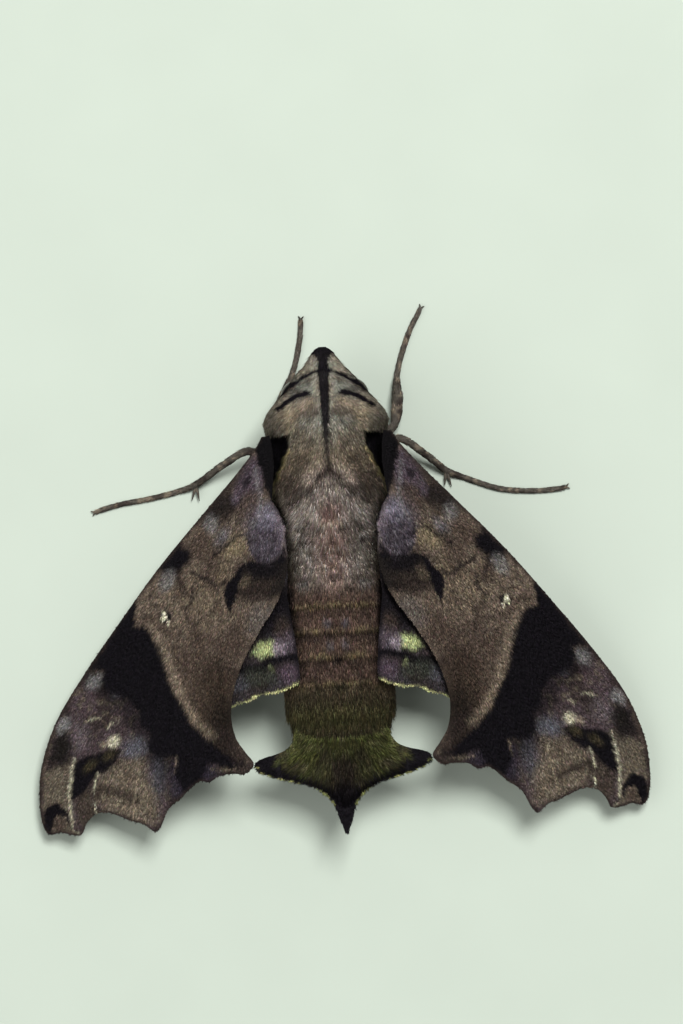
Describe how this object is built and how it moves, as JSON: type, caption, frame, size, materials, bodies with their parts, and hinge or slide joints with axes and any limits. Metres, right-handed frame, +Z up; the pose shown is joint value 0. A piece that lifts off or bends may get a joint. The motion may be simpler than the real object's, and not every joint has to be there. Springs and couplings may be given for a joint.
{
  "type": "hawkmoth",
  "caption": "Resting hawkmoth, life size, wings half spread like a low roof over a stout body with a fanned tail.",
  "frame": {"origin": "on the floor, under the middle of the model's box", "axes": "+Y towards the head, +X to the moth's right, +Z up"},
  "size_m": [0.04, 0.0338, 0.0098],
  "materials": {
    "body_coat": "soft dense hair and scales",
    "fan_scales": "matte long scales",
    "eye_surface": "glossy, finely faceted",
    "tongue_skin": "smooth horn",
    "antenna_scales": "matte fine scales",
    "forewing_scales": "matte wing scales",
    "hindwing_scales": "matte wing scales",
    "leg_scales": "matte fine scales"
  },
  "bodies": {
    "root": {"head": "body_coat", "thorax": "body_coat", "abdomen": "body_coat", "tail_fan": "fan_scales", "eye_R": "eye_surface", "eye_L": "eye_surface", "palp_R": "body_coat", "palp_L": "body_coat", "tongue": "tongue_skin", "antenna_R": "antenna_scales", "antenna_L": "antenna_scales", "forewing_R": "forewing_scales", "forewing_L": "forewing_scales", "hindwing_R": "hindwing_scales", "hindwing_L": "hindwing_scales", "foreleg_R": "leg_scales", "foreleg_L": "leg_scales", "midleg_R": "leg_scales", "midleg_L": "leg_scales", "hindleg_R": "leg_scales", "hindleg_L": "leg_scales"}
  },
  "joints": []
}
